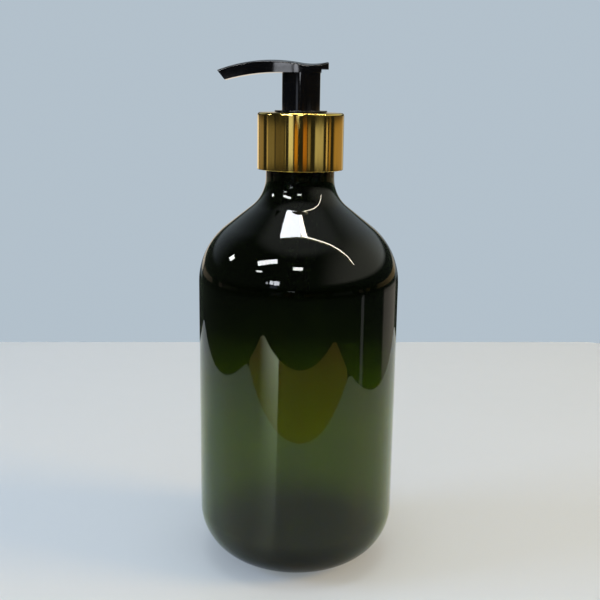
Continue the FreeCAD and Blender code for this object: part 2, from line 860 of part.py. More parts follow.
def make_actuator_head():
    """The head that is pressed: a saddle-topped block with a drooping spout, a skirt and a stem socket."""
    body = new_body("head_body")
    head_block(body)
    skirt = [
        ("skirt_bore", "skirt_bottom"),
        ("skirt_radius", "skirt_bottom"),
        ("skirt_radius", "skirt_top"),
        ("0", "skirt_top"),
        ("0", "skirt_top - head_floor"),
        ("skirt_bore", "skirt_top - head_floor"),
    ]
    turned(body, "skirt", skirt)
    turned(body, "socket", ring("stem_bore", "socket_radius", "skirt_top - socket_length", "skirt_top"))
    bores = [
        ("0", "skirt_top - socket_length"),
        ("stem_socket", "skirt_top - socket_length"),
        ("stem_socket", "stem_top"),
        ("stem_bore", "stem_top"),
        ("stem_bore", "chamber_top"),
        ("0", "chamber_top"),
    ]
    turned(body, "bores", bores, cut=True)
    channel = doc.addObject("Part::Torus", "channel")
    channel.setExpression("Radius1", spelled("outlet_round"))
    channel.setExpression("Radius2", spelled("outlet_radius"))
    channel.setExpression("Angle3", spelled("outlet_turn"))
    stand = FreeCAD.Rotation(FreeCAD.Vector(1, 0, 0), 90)
    start = math.degrees(math.acos(measure("outlet_peak_x / outlet_round")))
    lean = FreeCAD.Rotation(FreeCAD.Vector(0, 1, 0), -start)
    channel.Placement.Rotation = lean * stand
    channel.setExpression("Placement.Base.x", spelled("0 - outlet_peak_x"))
    channel.setExpression("Placement.Base.z", spelled("outlet_z"))
    head = doc.addObject("Part::Cut", "actuator_head")
    head.Base = body
    head.Tool = channel
    return head


NODES = [
    make_bottle(),
    make_gasket(),
    make_closure(),
    make_collar_shell(),
    make_lock_ring(),
    make_housing(),
    make_inlet_ball(),
    make_dip_tube(),
    make_stem(),
    make_piston_rod(),
    make_piston(),
    make_return_spring(),
    make_actuator_head(),
]
doc.recompute()

# Checks and files

for item in doc.Objects:
    if {"Invalid", "Error"} & set(item.State):
        raise RuntimeError(f"{item.Label} failed: {item.State}")
for node in NODES:
    if node.Shape.isNull() or not node.Shape.isValid():
        raise RuntimeError(f"{node.Label} has no valid shape")
os.makedirs("parts", exist_ok=True)
for node in NODES:
    node.Shape.exportStep(f"parts/{node.Label}.step")
    print(f"{node.Label:16s} {len(node.Shape.Solids)} solid {node.Shape.Volume:10.1f} mm3")
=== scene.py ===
"""Looks of the pump oil bottle: green bottle, gold collar, black pump and a plain stage.

Metres, +Z up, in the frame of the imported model. The spout points along -X and the camera looks along +Y.
"""

import math

import bmesh
import bpy
from bpy.props import FloatProperty, FloatVectorProperty, IntProperty, PointerProperty
from bpy.types import Operator, Panel, PropertyGroup
from mathutils import Matrix, Quaternion, Vector


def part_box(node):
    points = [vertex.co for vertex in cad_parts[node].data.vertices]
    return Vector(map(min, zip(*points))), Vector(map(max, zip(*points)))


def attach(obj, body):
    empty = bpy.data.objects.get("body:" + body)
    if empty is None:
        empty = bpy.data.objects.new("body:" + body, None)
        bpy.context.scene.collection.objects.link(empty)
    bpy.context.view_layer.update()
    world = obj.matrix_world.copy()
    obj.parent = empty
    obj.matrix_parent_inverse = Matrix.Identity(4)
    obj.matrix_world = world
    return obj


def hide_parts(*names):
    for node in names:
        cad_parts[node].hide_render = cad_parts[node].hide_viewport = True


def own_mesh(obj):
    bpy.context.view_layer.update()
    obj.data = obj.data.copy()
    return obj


bl_info = {
    "name": "Pump Oil Bottle",
    "version": (1, 0, 0),
    "blender": (4, 5, 0),
    "location": "View3D > Sidebar > Oil Bottle",
    "description": "Builds a pump oil bottle and its stage on the packed frame",
    "category": "Object",
}

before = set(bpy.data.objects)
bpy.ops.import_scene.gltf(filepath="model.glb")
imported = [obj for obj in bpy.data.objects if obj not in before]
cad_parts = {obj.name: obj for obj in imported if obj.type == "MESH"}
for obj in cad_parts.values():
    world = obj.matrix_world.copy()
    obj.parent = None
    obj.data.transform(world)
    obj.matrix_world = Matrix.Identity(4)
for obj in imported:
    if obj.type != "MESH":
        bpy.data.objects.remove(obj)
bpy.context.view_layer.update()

MM = 0.001
QUARTER = math.pi / 2
DEGREES_PER_STEP = 3.0
LEAST_STEPS = 3
CORNER_SEGMENTS = 5
TABLE_CORNER_SEGMENTS = 10
SHARP_ANGLE = math.radians(32)
MERGE_DISTANCE = 1e-7


# Settings


def length(label, text, size):
    """A length that a user may change."""
    return FloatProperty(name=label, description=text, default=size, min=0.0, unit="LENGTH", precision=5)


def colour(label, text, value):
    """A colour that a user may change."""
    return FloatVectorProperty(name=label, description=text, default=value, min=0.0, max=1.0, subtype="COLOR")


def share(label, text, value):
    """A number between 0 and 1 that a user may change."""
    return FloatProperty(name=label, description=text, default=value, min=0.0, max=1.0, subtype="FACTOR")


def turn(label, text, degrees):
    """An angle that a user may change."""
    return FloatProperty(name=label, description=text, default=math.radians(degrees), subtype="ANGLE")


def number(label, text, value, **options):
    """Any other number that a user may change."""
    return FloatProperty(name=label, description=text, default=value, **options)


class BottleSettings(PropertyGroup):
    """Sizes and colours of the bottle."""

    body_radius: length("Body radius", "Outside radius of the straight body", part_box("bottle")[1].y)
    neck_top: length("Neck top", "Height of the neck's rim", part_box("bottle")[1].z)
    base_round: length("Base round", "Radius of the corner between base and body", 20 * MM)
    foot_width: length("Foot width", "Width of the ring that the bottle stands on", 3.5 * MM)
    push_up: length("Push-up", "Height of the dome under the base", 4 * MM)
    floor: length("Floor", "Thickness of the base in its middle", 1.6 * MM)
    wall: length("Wall", "Thickness of the blown wall", 0.9 * MM)
    body_top: length("Body top", "Height at which the shoulder starts", 107.5 * MM)
    shoulder_round: length("Shoulder round", "Radius of the shoulder", 26 * MM)
    shoulder_slope: turn("Shoulder slope", "Angle that the shoulder turns through", 52)
    neck_round: length("Neck round", "Radius between shoulder and neck", 13.3 * MM)
    neck_radius: length("Neck radius", "Outside radius of the neck", 12.5 * MM)
    neck_wall: length("Neck wall", "Thickness of the moulded neck", 1.7 * MM)
    neck_length: length("Neck length", "Height of the straight neck", 18.5 * MM)
    neck_lead: length("Neck lead", "Height over which the wall thickens to the neck's", 3 * MM)
    lip_round: length("Lip round", "Radius of the neck's rim", 0.5 * MM)
    corner_round: length("Corner round", "Radius of the small corners of the base and the neck", 1.2 * MM)
    thread_pitch: length("Thread pitch", "Rise of the screw thread in one turn", 4.23 * MM)
    thread_turns: number("Thread turns", "Turns of the screw thread", 1.5, min=0.5)
    thread_depth: length("Thread depth", "How far the thread stands out of the neck", 1.15 * MM)
    thread_root: length("Thread root", "Width of the thread at the neck", 2.3 * MM)
    thread_crest: length("Thread crest", "Width of the thread at its crest", 1.1 * MM)
    thread_drop: length("Thread drop", "Distance from the rim down to the thread", 1.6 * MM)
    thread_sink: length("Thread sink", "How far the thread's root goes into the neck", 0.4 * MM)
    body_tint: colour("Body tint", "Light that one wall of the body lets through", (0.185, 0.245, 0.032))
    shoulder_tint: colour("Shoulder tint", "The same for the shoulder", (0.04, 0.05, 0.025))
    # Painted shade in part: the base's deeper tint stands for its thicker plastic and for the shade under the
    # bottle
    base_tint_and_shade: colour("Base tint", "The same for the thick base", (0.02, 0.028, 0.016))
    tint_start: share("Tint start", "Part of the body's height at which the shoulder's tint starts", 0.56)
    tint_end: share("Tint end", "Part of the body's height at which the shoulder's tint is full", 0.88)
    floor_start: share("Floor start", "Part of the base's round that has the base's full tint", 0.3)
    # Painted shade: the base, the throat below the neck and the shoulder's foot get less shine, so that their
    # reflections come out darker
    base_shade_start: share("Dull start", "Part of the base's round that is fully dull", 0.1)
    base_end: share("Base end", "Part of the base's round at which its tint and dullness end", 0.9)
    foot_shade: length("Foot shade", "Height of the shoulder's foot that has little shine", 5 * MM)
    foot_edge: share("Foot edge", "Part of that height that each of its soft edges takes", 0.25)
    neck_shade: length("Neck shade", "How far below the straight neck its shine starts to fade", 4 * MM)
    shaded_shine: share("Dull shine", "Shine that is left in the dull places", 0.08)
    wall_index: number("Wall index", "Refractive index of the wall", 1.43, min=1.0)
    # Painted shade: the base's low index only weakens its reflections
    shaded_base_index: number("Base index", "Refractive index of the base", 1.09, min=1.0)
    steps: IntProperty(name="Steps", description="Steps of a full turn", default=160, min=24)


class CollarSettings(PropertyGroup):
    """Sizes and colours of the collar's shell."""

    hole: length("Hole", "Radius of the hole that the lock ring's sleeve goes through", 9.0 * MM)
    sheet: length("Sheet", "Thickness of the drawn metal", 0.45 * MM)
    top_round: length("Top round", "Radius of the top edge", 0.9 * MM)
    rim_round: length("Rim round", "Radius of the bottom edge", 0.2 * MM)
    gold: colour("Gold", "Colour of the bright metal", (0.92, 0.7, 0.2))
    gold_deep: colour("Deep gold", "Colour of the metal in its darker flecks", (0.86, 0.58, 0.12))
    steps: IntProperty(name="Steps", description="Steps of a full turn", default=128, min=24)


class PumpSettings(PropertyGroup):
    """Colours of the pump's pieces."""

    black: colour("Black", "Colour of the head and the lock ring", (0.0032, 0.0032, 0.0036))
    natural: colour("Natural", "Colour of the cap, stem and rod", (0.8, 0.8, 0.77))
    soft_white: colour("Soft white", "Colour of the gasket and the piston", (0.86, 0.86, 0.84))
    milky: colour("Milky", "Colour of the housing", (0.82, 0.85, 0.8))
    clear: colour("Clear", "Colour of the dip tube", (0.96, 0.97, 0.95))
    steel: colour("Steel", "Colour of the spring and the ball", (0.62, 0.62, 0.61))


class StageSettings(PropertyGroup):
    """Table, room, lamps and camera."""

    table: colour("Table", "Colour of the table top", (0.79, 0.83, 0.82))
    table_back: length("Table back", "Distance from the bottle to the table's back edge", 0.311)
    table_front: length("Table front", "Distance from the bottle to the table's front edge", 0.182)
    table_left: length("Table left", "Distance from the bottle to the table's left edge", 0.29)
    table_right: length("Table right", "Distance from the bottle to the table's right edge", 0.255)
    table_thick: length("Table thickness", "Thickness of the table top", 0.03)
    table_corner: length("Table corner", "Radius of the table's corners", 0.03)
    table_turn: turn("Table turn", "Angle that the table is turned by", 3)
    board: colour("Board", "Colour of the board in front of the table", (0.78, 0.5, 0.1))
    board_front: length("Board front", "Distance from the bottle to the board's front edge", 0.33)
    # Painted window light: a glow in the table's and the board's surfaces that reflections alone show
    glow: number("Glow", "Brightness of the window light at the board's front", 3.9, min=0.0)
    glow_tint: colour("Glow tint", "Colour of the window light on the table", (0.82, 1.0, 0.76))
    glow_left: turn("Glow left", "Direction in which it starts, right of the camera's side", -41)
    glow_right: turn("Glow right", "Direction in which it is full and ends", -20)
    wall: colour("Wall", "Colour of the wall behind", (0.45, 0.53, 0.6))
    ambient: colour("Ambient", "Light from the room itself", (0.28, 0.31, 0.335))
    ambient_front: share("Ambient front", "How much more of it comes from the camera's side", 0.6)
    dim: colour("Dim", "Colour of the dim room that reflections show", (0.9, 0.95, 1.0))
    dim_light: number("Dim light", "Brightness of that room", 0.02, min=0.0)
    ceiling: length("Ceiling", "Height of the ceiling lamps", 1.13)
    window_distance: length("Window distance", "Distance of the windows", 1.5)
    lens: number("Lens", "Focal length on a 36 mm sensor", 55.33, subtype="DISTANCE_CAMERA")
    camera_back: length("Camera back", "Distance of the camera in front of the bottle's axis", 0.3383)
    camera_right: number("Camera right", "Distance right of the axis", 0.00061, unit="LENGTH")
    camera_height: length("Camera height", "Height of the camera", 0.1746)
    camera_down: turn("Camera down", "Angle that the camera looks down by", 12.43)
    camera_roll: turn("Camera roll", "Angle that the camera leans by", 0.79)


class OilBottleSettings(PropertyGroup):
    """All settings of the scene."""

    bottle: PointerProperty(type=BottleSettings)
    collar: PointerProperty(type=CollarSettings)
    pump: PointerProperty(type=PumpSettings)
    stage: PointerProperty(type=StageSettings)


# Outlines and pieces


class Outline:
    """A line in the XZ plane, drawn by straight runs and arcs, that is then spun about Z."""

    def __init__(self, x, z):
        self.bm = bmesh.new()
        self.tip = self.bm.verts.new((x, 0, z))
        self.corners = []

    def run(self, x, z, corner=False):
        """Go straight to a point, and note the corner that is left if it is to be rounded."""
        if corner:
            self.corners.append(self.tip)
        self.tip = bmesh.ops.extrude_vert_indiv(self.bm, verts=[self.tip])["verts"][0]
        self.tip.co = (x, 0, z)

    def arc(self, x, z, angle, corner=False):
        """Go round a centre, anticlockwise where the angle is positive."""
        if corner:
            self.corners.append(self.tip)
        steps = max(LEAST_STEPS, round(abs(math.degrees(angle)) / DEGREES_PER_STEP))
        made = bmesh.ops.spin(
            self.bm, geom=[self.tip], cent=(x, 0, z), axis=(0, -1, 0), angle=angle, steps=steps
        )
        self.tip = made["geom_last"][0]

    def soften(self, radius):
        """Round the noted corners."""
        bmesh.ops.bevel(
            self.bm, geom=self.corners, offset=radius, offset_type="OFFSET", segments=CORNER_SEGMENTS,
            profile=0.5, affect="VERTICES", material=-1, clamp_overlap=True,
        )

    def spin(self, steps):
        """Spin the line into a closed skin and give its bmesh."""
        bmesh.ops.spin(
            self.bm, geom=self.bm.verts[:] + self.bm.edges[:], cent=(0, 0, 0), axis=(0, 0, 1),
            angle=math.tau, steps=steps, use_merge=True,
        )
        bmesh.ops.remove_doubles(self.bm, verts=self.bm.verts[:], dist=MERGE_DISTANCE)
        bmesh.ops.recalc_face_normals(self.bm, faces=self.bm.faces[:])
        return self.bm


def add_mesh(bm, name, material):
    """Turn a bmesh into an object of the scene."""
    mesh = bpy.data.meshes.new(name)
    bm.to_mesh(mesh)
    bm.free()
    mesh.materials.append(material)
    made = bpy.data.objects.new(name, mesh)
    bpy.context.scene.collection.objects.link(made)
    return made


def add_piece(bm, name, material, body, node):
    """Turn a bmesh into a smooth piece that rides on a body and stands for a node."""
    piece = add_mesh(bm, name, material)
    piece.data.shade_smooth()
    piece.data.set_sharp_from_angle(angle=SHARP_ANGLE)
    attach(piece, body)
    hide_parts(node)
    return piece


def dress(node, material):
    """Give a node of the frame its material."""
    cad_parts[node].material_slots[0].material = material


# Shader nodes

# The mixing node's sockets for the share and the two colours, and the one for their mix
MIX_SHARE = 0
MIX_FIRST = 6
MIX_LAST = 7
MIX_RESULT = 2


class Nodes:
    """A node tree and short ways to add to it. A value is a number or another node's output."""

    def __init__(self, tree):
        self.tree = tree

    def node(self, kind, *inputs, **settings):
        """Add a node, with its settings and the values of its inputs."""
        made = self.tree.nodes.new(kind)
        for key, value in settings.items():
            setattr(made, key, value)
        for socket, value in inputs:
            if isinstance(value, bpy.types.NodeSocket):
                self.tree.links.new(value, made.inputs[socket])
            else:
                made.inputs[socket].default_value = value
        return made

    def reckon(self, operation, *values):
        """One step of arithmetic."""
        return self.node("ShaderNodeMath", *enumerate(values), operation=operation).outputs[0]

    def times(self, first, *others):
        """The product of some values."""
        for other in others:
            first = self.reckon("MULTIPLY", first, other)
        return first

    def spread(self, value, low, high, start=0.3, end=0.7, shape="LINEAR"):
        """Bring a value from the range between start and end into another one."""
        made = self.node(
            "ShaderNodeMapRange", ("Value", value), ("From Min", start), ("From Max", end),
            ("To Min", low), ("To Max", high), interpolation_type=shape,
        )
        return made.outputs[0]

    def axes(self, place):
        """The coordinates of a place or a direction."""
        return self.node("ShaderNodeSeparateXYZ", (0, place)).outputs

    def bearing(self, axes):
        """Angle to the right of the camera's side."""
        return self.reckon("ARCTAN2", axes["X"], self.times(axes["Y"], -1.0))


class Finish(Nodes):
    """A material, its shader, and the patterns that feed it in the object's own coordinates."""

    def __init__(self, name, **constants):
        self.material = bpy.data.materials.new(name)
        self.material.use_nodes = True
        super().__init__(self.material.node_tree)
        self.shader = self.tree.nodes["Principled BSDF"]
        self.place = self.node("ShaderNodeTexCoord").outputs["Object"]
        for socket, value in constants.items():
            self.shader.inputs[socket.replace("_", " ")].default_value = value

    def feed(self, socket, value):
        """Link a pattern to a socket of the shader."""
        self.tree.links.new(value, self.shader.inputs[socket])

    def clouds(self, grain, detail=2.0, stretch=(1, 1, 1)):
        """A cloudy pattern, with about so many clouds in a metre."""
        place = self.node("ShaderNodeMapping", ("Vector", self.place), ("Scale", stretch)).outputs[0]
        made = self.node("ShaderNodeTexNoise", ("Vector", place), ("Scale", grain), ("Detail", detail))
        return made.outputs["Fac"]

    def blend(self, value, first, last):
        """Go from one colour to another."""
        ends = [end if isinstance(end, bpy.types.NodeSocket) else (*end, 1) for end in (first, last)]
        made = self.node(
            "ShaderNodeMix", (MIX_SHARE, value), (MIX_FIRST, ends[0]), (MIX_LAST, ends[1]), data_type="RGBA",
        )
        return made.outputs[MIX_RESULT]

    def above(self, start, end):
        """From 0 to 1 between two heights."""
        return self.spread(self.axes(self.place)["Z"], 0.0, 1.0, start, end)

    def below(self, start, end):
        """From 1 to 0 between two heights."""
        return self.spread(self.axes(self.place)["Z"], 1.0, 0.0, start, end)

    def mottle(self, first, last, **cloud):
        """Colour the surface in clouds of two colours."""
        self.feed("Base Color", self.blend(self.clouds(**cloud), first, last))

    def gloss(self, smooth, rough, **cloud):
        """Vary the roughness in clouds."""
        self.feed("Roughness", self.spread(self.clouds(**cloud), smooth, rough))

    def bump(self, depth, strength, **cloud):
        """Raise the surface in clouds."""
        pattern = self.clouds(**cloud)
        made = self.node("ShaderNodeBump", ("Height", pattern), ("Distance", depth), ("Strength", strength))
        self.feed("Normal", made.outputs[0])


class Room(Nodes):
    """The world's shader and the patterns that feed it, by direction."""

    def __init__(self, name):
        self.world = bpy.data.worlds.new(name)
        self.world.use_nodes = True
        super().__init__(self.world.node_tree)
        self.tree.nodes.clear()
        self.way = self.axes(self.node("ShaderNodeTexCoord").outputs["Generated"])

    def ramp(self, value, start, end):
        """From 0 to 1, softly, as a value goes from start to end."""
        return self.spread(value, 0.0, 1.0, start, end, shape="SMOOTHSTEP")

    def climb(self, elevation, soft):
        """From 0 to 1 as a direction climbs past an elevation, or sinks past it where soft is below 0."""
        start, end = (math.sin(math.radians(elevation + step)) for step in (-soft, soft))
        return self.ramp(self.way["Z"], start, end)

    def light(self, tint, strength):
        """Light of one colour."""
        return self.node("ShaderNodeBackground", ("Color", (*tint, 1)), ("Strength", strength)).outputs[0]

    def add(self, first, second):
        """Two lights together."""
        return self.node("ShaderNodeAddShader", (0, first), (1, second)).outputs[0]

    def choose(self, value, first, second):
        """The first light where a value is 0, and the second where it is 1."""
        return self.node("ShaderNodeMixShader", (0, value), (1, first), (2, second)).outputs[0]


# Finishes


def scaled(tint, factor):
    """A colour times a number."""
    return tuple(channel * factor for channel in tint)


def green_plastic(size):
    """Clear dark green blown plastic, deeper in the shoulder, deeper still in the base partly as painted
    shade, with painted shade as less shine in a few places.
    """
    finish = Finish("green_plastic", Transmission_Weight=1.0)
    climb = finish.above(size.body_top * size.tint_start, size.body_top * size.tint_end)
    body = finish.blend(climb, size.body_tint, size.shoulder_tint)
    # The base's deeper tint is partly its thicker plastic and partly painted shade under the bottle
    floor = finish.below(size.base_round * size.floor_start, size.base_round * size.base_end)
    finish.feed("Base Color", finish.blend(floor, body, size.base_tint_and_shade))

    # Painted shade: less shine on the base, the throat and the shoulder's foot, and a lower index on the
    # base, so that their reflections come out darker
    base = finish.below(size.base_round * size.base_shade_start, size.base_round * size.base_end)
    neck = size.neck_top - size.neck_length
    throat = finish.above(neck - size.neck_shade, neck - size.neck_shade / 2)
    foot_top = size.body_top + size.foot_shade
    edge = size.foot_shade * size.foot_edge
    foot_start = finish.above(size.body_top, size.body_top + edge)
    foot = finish.times(foot_start, finish.below(foot_top - edge, foot_top))
    dull = finish.reckon("ADD", finish.reckon("ADD", base, throat), foot)
    finish.feed("Specular Tint", finish.spread(dull, 1.0, size.shaded_shine, start=0.0, end=1.0))
    finish.feed("IOR", finish.spread(base, size.wall_index, size.shaded_base_index, start=0.0, end=1.0))

    finish.gloss(smooth=0.01, rough=0.03, grain=60)
    finish.bump(depth=0.25 * MM, strength=0.35, grain=28, detail=1.0)
    return finish.material


def gold_metal(size):
    """Bright gold anodised metal, with the faint lines of its drawing."""
    finish = Finish("gold_metal", Metallic=1.0)
    finish.mottle(size.gold_deep, size.gold, grain=240, stretch=(1, 1, 0.2))
    finish.gloss(smooth=0.05, rough=0.11, grain=900, stretch=(1, 1, 0.08))
    finish.bump(depth=0.05 * MM, strength=0.3, grain=170, detail=1.0, stretch=(1, 1, 0.05))
    return finish.material


def black_plastic(tint):
    """Gloss black moulded plastic."""
    finish = Finish("black_plastic", IOR=1.49)
    finish.mottle(tint, scaled(tint, 1.6), grain=500)
    finish.gloss(smooth=0.03, rough=0.06, grain=300)
    finish.bump(depth=0.02 * MM, strength=0.2, grain=160, detail=1.0)
    return finish.material


def pale_plastic(name, tint, rough):
    """Natural moulded plastic with a soft shine."""
    finish = Finish(name, IOR=1.49, Subsurface_Weight=0.15, Subsurface_Scale=1 * MM)
    finish.mottle(scaled(tint, 0.93), tint, grain=180)
    finish.gloss(smooth=rough * 0.8, rough=rough * 1.2, grain=420)
    finish.bump(depth=0.02 * MM, strength=0.4, grain=1500)
    return finish.material


def milky_plastic(tint):
    """Translucent plastic of the pump's cylinder."""
    finish = Finish("milky_plastic", IOR=1.5, Transmission_Weight=0.8)
    finish.mottle(scaled(tint, 0.95), tint, grain=120)
    finish.gloss(smooth=0.18, rough=0.3, grain=400)
    finish.bump(depth=0.02 * MM, strength=0.3, grain=900)
    return finish.material


def clear_plastic(tint):
    """Clear thin plastic of the dip tube, hardly seen in the bottle."""
    finish = Finish("clear_plastic", IOR=1.12, Transmission_Weight=1.0)
    finish.mottle(scaled(tint, 0.98), tint, grain=120)
    finish.gloss(smooth=0.03, rough=0.07, grain=400)
    return finish.material


def bright_steel(tint):
    """Drawn steel wire and the polished ball."""
    finish = Finish("bright_steel", Metallic=1.0)
    finish.mottle(scaled(tint, 0.8), tint, grain=700)
    finish.gloss(smooth=0.16, rough=0.3, grain=2500)
    return finish.material


def painted_window_glow(finish, stage):
    """Painted window light: a glow in the surface that reflections alone show. It fades to the left and
    towards the bottle.
    """
    angle = finish.bearing(finish.axes(finish.place))
    fade = finish.spread(angle, 0.0, 1.0, stage.glow_left, stage.glow_right)
    inside = finish.reckon("LESS_THAN", angle, stage.glow_right)
    reach = finish.node("ShaderNodeVectorMath", (0, finish.place), operation="LENGTH").outputs["Value"]
    along = finish.times(reach, reach, stage.glow / stage.board_front ** 2)
    mirrored = finish.node("ShaderNodeLightPath").outputs["Is Glossy Ray"]
    finish.feed("Emission Strength", finish.times(fade, inside, along, mirrored))


def table_paint(stage):
    """Pale painted table top with a low sheen, and a painted window glow that reflections alone show."""
    finish = Finish("table_paint", IOR=1.45, Emission_Color=(*stage.glow_tint, 1))
    finish.mottle(scaled(stage.table, 0.985), stage.table, grain=9, detail=4.0)
    finish.gloss(smooth=0.38, rough=0.48, grain=60)
    painted_window_glow(finish, stage)
    return finish.material


def board_wood(stage):
    """Warm wood with a fine grain along it, and the same painted window glow."""
    finish = Finish("board_wood", IOR=1.45, Emission_Color=(*stage.glow_tint, 1))
    finish.mottle(scaled(stage.board, 0.8), stage.board, grain=14, detail=4.0, stretch=(1, 12, 12))
    finish.gloss(smooth=0.5, rough=0.6, grain=60)
    painted_window_glow(finish, stage)
    return finish.material


# Bottle


class OILBOTTLE_OT_bottle(Operator):
    """Blow the bottle and wind the thread of its neck"""

    bl_idname = "oil_bottle.bottle"
    bl_label = "Bottle"

    def execute(self, context):
        size = context.scene.oil_bottle.bottle
        green = green_plastic(size)
        add_piece(self.skin(size), "bottle_skin", green, "bottle", "bottle")
        add_piece(self.thread(size), "neck_thread", green, "bottle", "bottle")
        return {"FINISHED"}

    def skin(self, size):
        """Draw the wall up the outside and down the inside, and spin it."""
        foot = size.body_radius - size.base_round
        foot_inner = foot - size.foot_width
        slope = size.shoulder_slope
        middle = size.body_radius - size.shoulder_round
        slope_r = middle + size.shoulder_round * math.cos(slope)
        slope_z = size.body_top + size.shoulder_round * math.sin(slope)
        throat = size.neck_radius + size.neck_round
        throat_r = throat - size.neck_round * math.cos(slope)
        neck_start = size.neck_top - size.neck_length
        throat_z = neck_start - size.neck_round * math.sin(slope)
        bore = size.neck_radius - size.neck_wall
        inset = Vector((math.cos(slope), math.sin(slope))) * size.wall
        lip = size.lip_round

        dome = (foot_inner**2 + size.push_up**2) / (2 * size.push_up)
        line = Outline(0, size.push_up)
        line.arc(0, size.push_up - dome, -math.asin(foot_inner / dome))
        line.run(foot, 0, corner=True)
        line.arc(foot, size.base_round, QUARTER)
        line.run(size.body_radius, size.body_top)
        line.arc(middle, size.body_top, slope)
        line.run(throat_r, throat_z)
        line.arc(throat, neck_start, -slope)
        line.run(size.neck_radius, size.neck_top - lip)
        line.arc(size.neck_radius - lip, size.neck_top - lip, QUARTER)
        line.run(bore + lip, size.neck_top)
        line.arc(bore + lip, size.neck_top - lip, QUARTER)
        line.run(bore, neck_start + size.neck_lead)
        line.run(size.neck_radius - size.wall, neck_start, corner=True)
        line.arc(throat, neck_start, slope, corner=True)
        line.run(slope_r - inset.x, slope_z - inset.y)
        line.arc(middle, size.body_top, -slope)
        line.run(size.body_radius - size.wall, size.base_round)
        line.arc(foot, size.base_round, -QUARTER)
        line.run(foot_inner, size.wall)
        rise = size.push_up + size.floor - size.wall
        inner_dome = (foot_inner**2 + rise**2) / (2 * rise)
        line.arc(0, size.wall + rise - inner_dome, math.asin(foot_inner / inner_dome), corner=True)
        line.soften(size.corner_round)
        return line.spin(size.steps)

    def thread(self, size):
        """Wind a trapezoid round the neck, right-handed, and close its ends."""
        low = size.neck_top - size.thread_drop - size.thread_root / 2 - size.thread_turns * size.thread_pitch
        inner = size.neck_radius - size.thread_sink
        crest = size.neck_radius + size.thread_depth
        bm = bmesh.new()
        start = [
            bm.verts.new((inner, 0, low - size.thread_root / 2)),
            bm.verts.new((crest, 0, low - size.thread_crest / 2)),
            bm.verts.new((crest, 0, low + size.thread_crest / 2)),
            bm.verts.new((inner, 0, low + size.thread_root / 2)),
        ]
        face = bm.faces.new(start)
        steps = round(size.steps * size.thread_turns)
        bmesh.ops.spin(
            bm, geom=[face], cent=(0, 0, 0), axis=(0, 0, 1), dvec=(0, 0, size.thread_pitch / size.steps),
            angle=math.tau * size.thread_turns, steps=steps,
        )
        bmesh.ops.recalc_face_normals(bm, faces=bm.faces[:])
        return bm


# Collar


class OILBOTTLE_OT_collar(Operator):
    """Draw the gold shell of the collar"""

    bl_idname = "oil_bottle.collar"
    bl_label = "Collar"

    def execute(self, context):
        size = context.scene.oil_bottle.collar
        add_piece(self.shell(size), "gold_shell", gold_metal(size), "collar", "collar_shell")
        return {"FINISHED"}

    def shell(self, size):
        """Draw the sheet from the hole over the top and down to the rim, back up the inside, and spin it."""
        low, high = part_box("collar_shell")
        radius = high.y
        top_round = size.top_round
        rim = size.rim_round
        under = high.z - size.sheet
        line = Outline(size.hole, under)
        line.run(size.hole, high.z - rim)
        line.arc(size.hole + rim, high.z - rim, -QUARTER)
        line.run(radius - top_round, high.z)
        line.arc(radius - top_round, high.z - top_round, -QUARTER)
        line.run(radius, low.z + rim)
        line.arc(radius - rim, low.z + rim, -QUARTER)
        line.arc(radius - rim, low.z + rim, -QUARTER)
        line.run(radius - size.sheet, high.z - top_round)
        line.arc(radius - top_round, high.z - top_round, QUARTER)
        line.run(size.hole, under)
        return line.spin(size.steps)


# Pump


class OILBOTTLE_OT_pump(Operator):
    """Finish the pieces of the pump"""

    bl_idname = "oil_bottle.pump"
    bl_label = "Pump"

    def execute(self, context):
        pump = context.scene.oil_bottle.pump
        steel = bright_steel(pump.steel)
        looks = (
            (black_plastic(pump.black), ("actuator_head", "lock_ring")),
            (pale_plastic("natural_plastic", pump.natural, rough=0.35), ("closure", "stem", "piston_rod")),
            (pale_plastic("soft_white", pump.soft_white, rough=0.55), ("gasket", "piston")),
            (milky_plastic(pump.milky), ("housing",)),
            (clear_plastic(pump.clear), ("dip_tube",)),
            (steel, ("inlet_ball",)),
        )
        for material, nodes in looks:
            for node in nodes:
                dress(node, material)
        self.spring(steel)
        return {"FINISHED"}

    def spring(self, steel):
        """Copy the spring into a smooth piece of its own that rides on the pump unit."""
        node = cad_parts["return_spring"]
        bm = bmesh.new()
        bm.from_mesh(node.data)
        bm.transform(node.matrix_world)
        bmesh.ops.remove_doubles(bm, verts=bm.verts[:], dist=MERGE_DISTANCE)
        piece = add_piece(bm, "spring_wire", steel, "pump_unit", "return_spring")
        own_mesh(piece)


# Stage

# Point that the windows face
LAMP_TARGET = Vector((0, -0.02, 0.13))

# How far one step of warmth moves the red, the green and the blue of a lamp, and the least blue that is left
WARM_RED = 0.08
WARM_GREEN = 0.04
WARM_BLUE = 0.18
LEAST_BLUE = 0.05

# Ceiling lamps, which reflections alone show: name, place, width and depth in metres, turn in degrees,
# brightness, warmth
CEILING = (
    ("panel", (-0.116, 0.0945), (0.272, 0.109), 0, 24.0, -0.4),
    ("strip", (0.81, -0.173), (1.735, 0.03), -16.8, 38.0, 1.0),
)

